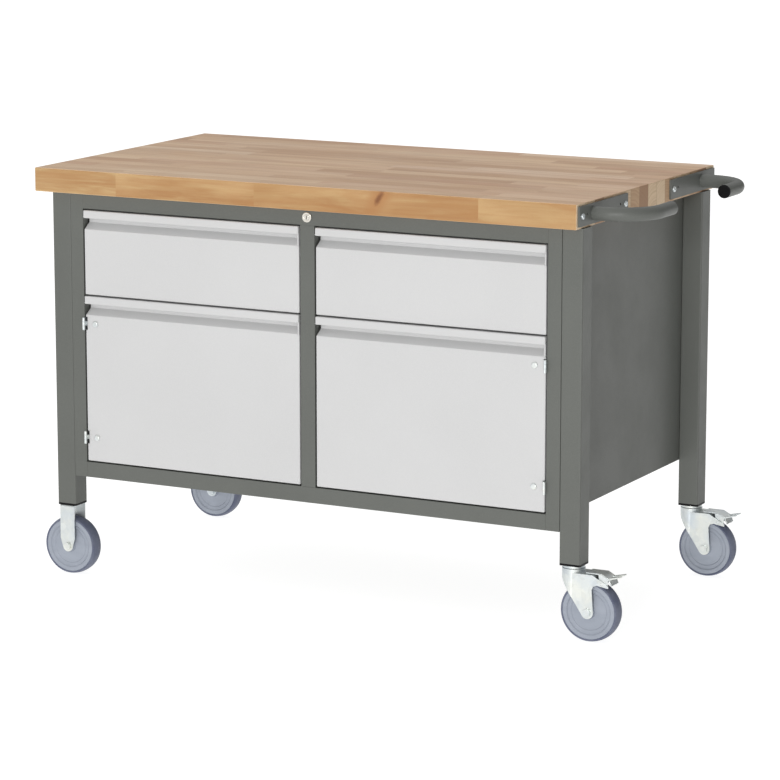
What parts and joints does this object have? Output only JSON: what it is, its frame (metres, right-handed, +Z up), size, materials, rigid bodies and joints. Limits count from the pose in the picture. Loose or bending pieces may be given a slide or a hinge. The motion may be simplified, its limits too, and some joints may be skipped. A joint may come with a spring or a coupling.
{
  "type": "workbench with drawers",
  "caption": "Mobile workbench: laminated beech top on a sheet-steel cabinet with drawers over hinged doors, a cylinder lock, push handles, and fixed and braked swivel castors.",
  "frame": {"origin": "on the floor, at the middle of the object's outline seen from above", "axes": "+X from the fixed castors towards the handles, +Y from the doors towards the back, +Z up"},
  "size_m": [1.3865, 0.7, 0.88],
  "materials": {
    "beech": "lightly oiled, satin",
    "frame_paint": "satin powder coat, mid grey",
    "front_paint": "satin powder coat, light grey",
    "inner_sheet": "galvanised sheet",
    "zinc": "bright zinc plate",
    "lock_metal": "nickel plate",
    "black_plastic": "moulded, matte",
    "wheel_plastic": "moulded nylon, matte",
    "tread": "grey rubber",
    "magnet": "moulded, matte"
  },
  "bodies": {
    "root": {"worktop": "beech", "worktop_screws": "zinc", "leg_front_left": "frame_paint", "leg_front_right": "frame_paint", "leg_rear_left": "frame_paint", "leg_rear_right": "frame_paint", "leg_plugs": "black_plastic", "top_rail": "frame_paint", "bottom_rail": "frame_paint", "stile_left": "frame_paint", "stile_right": "frame_paint", "centre_post": "frame_paint", "side_panel_left": "frame_paint", "side_panel_right": "frame_paint", "back_panel": "frame_paint", "floor_panel": "frame_paint", "centre_partition": "frame_paint", "cross_rails": "frame_paint", "door_magnets": "magnet", "handle_front": "frame_paint", "handle_rear": "frame_paint", "handle_caps": "black_plastic", "handle_screws": "zinc", "slides_outer": "zinc", "hinge_frame_leaves": "zinc", "lock_housing": "lock_metal", "fixed_forks": "zinc", "fixed_axles": "zinc", "swivel_heads": "zinc"},
    "lock": {"lock_plug": "lock_metal", "lock_cam": "zinc"},
    "lock_bar": {"locking_bar": "zinc"},
    "left_drawer": {"drawer_front_left": "front_paint", "drawer_tray_left": "inner_sheet", "slides_inner_left": "zinc"},
    "left_middle_slides": {"slides_middle_left": "zinc"},
    "left_door": {"door_left": "front_paint", "door_hinge_leaves_left": "zinc", "door_bolts_left": "zinc"},
    "right_drawer": {"drawer_front_right": "front_paint", "drawer_tray_right": "inner_sheet", "slides_inner_right": "zinc"},
    "right_middle_slides": {"slides_middle_right": "zinc"},
    "right_door": {"door_right": "front_paint", "door_hinge_leaves_right": "zinc", "door_bolts_right": "zinc"},
    "front_left_wheel": {"rim_front_left": "wheel_plastic", "tyre_front_left": "tread"},
    "front_swivel": {"swivel_fork_front": "zinc", "swivel_axle_front": "zinc"},
    "front_right_wheel": {"rim_front_right": "wheel_plastic", "tyre_front_right": "tread"},
    "front_brake": {"brake_pedal_front": "zinc"},
    "rear_left_wheel": {"rim_rear_left": "wheel_plastic", "tyre_rear_left": "tread"},
    "rear_swivel": {"swivel_fork_rear": "zinc", "swivel_axle_rear": "zinc"},
    "rear_right_wheel": {"rim_rear_right": "wheel_plastic", "tyre_rear_right": "tread"},
    "rear_brake": {"brake_pedal_rear": "zinc"}
  },
  "joints": [
    {"name": "left_drawer_pull", "type": "slide", "parent": "root", "child": "left_drawer", "axis": [0, -1, 0], "range_m": [0, 0.5]},
    {"name": "left_middle_slides_travel", "type": "slide", "parent": "root", "child": "left_middle_slides", "axis": [0, -1, 0], "range_m": [0, 0.25]},
    {"name": "left_door_swing", "type": "hinge", "parent": "root", "child": "left_door", "pos_m": [-0.57675, -0.332, 0.4295], "axis": [0, 0, -1], "range_deg": [0, 110]},
    {"name": "right_drawer_pull", "type": "slide", "parent": "root", "child": "right_drawer", "axis": [0, -1, 0], "range_m": [0, 0.5]},
    {"name": "right_middle_slides_travel", "type": "slide", "parent": "root", "child": "right_middle_slides", "axis": [0, -1, 0], "range_m": [0, 0.25]},
    {"name": "right_door_swing", "type": "hinge", "parent": "root", "child": "right_door", "pos_m": [0.49675, -0.332, 0.4295], "axis": [0, 0, 1], "range_deg": [0, 110]},
    {"name": "lock_turn", "type": "hinge", "parent": "root", "child": "lock", "pos_m": [-0.04, -0.326, 0.813], "axis": [0, -1, 0], "range_deg": [0, 90]},
    {"name": "lock_bar_lift", "type": "slide", "parent": "root", "child": "lock_bar", "axis": [0, 0, 1], "range_m": [0, 0.012]},
    {"name": "front_left_wheel_spin", "type": "hinge", "parent": "root", "child": "front_left_wheel", "pos_m": [-0.63075, -0.3035, 0.0625], "axis": [0, 1, 0], "continuous": true},
    {"name": "front_castor_swivel", "type": "hinge", "parent": "root", "child": "front_swivel", "pos_m": [0.55075, -0.3035, 0.15], "axis": [0, 0, 1], "continuous": true},
    {"name": "front_right_wheel_spin", "type": "hinge", "parent": "front_swivel", "child": "front_right_wheel", "pos_m": [0.58975, -0.3035, 0.0625], "axis": [0, 1, 0], "continuous": true},
    {"name": "front_brake_press", "type": "hinge", "parent": "front_swivel", "child": "front_brake", "pos_m": [0.62075, -0.3035, 0.1235], "axis": [0, 1, 0], "range_deg": [0, 12]},
    {"name": "rear_left_wheel_spin", "type": "hinge", "parent": "root", "child": "rear_left_wheel", "pos_m": [-0.63075, 0.3035, 0.0625], "axis": [0, 1, 0], "continuous": true},
    {"name": "rear_castor_swivel", "type": "hinge", "parent": "root", "child": "rear_swivel", "pos_m": [0.55075, 0.3035, 0.15], "axis": [0, 0, 1], "continuous": true},
    {"name": "rear_right_wheel_spin", "type": "hinge", "parent": "rear_swivel", "child": "rear_right_wheel", "pos_m": [0.58975, 0.3035, 0.0625], "axis": [0, 1, 0], "continuous": true},
    {"name": "rear_brake_press", "type": "hinge", "parent": "rear_swivel", "child": "rear_brake", "pos_m": [0.62075, 0.3035, 0.1235], "axis": [0, 1, 0], "range_deg": [0, 12]}
  ],
  "couplings": [
    {"joint": "left_middle_slides_travel", "follows": "left_drawer_pull", "ratio": 0.5},
    {"joint": "right_middle_slides_travel", "follows": "right_drawer_pull", "ratio": 0.5},
    {"joint": "lock_turn", "follows": "lock_bar_lift", "rad_per_m": 130.9}
  ]
}
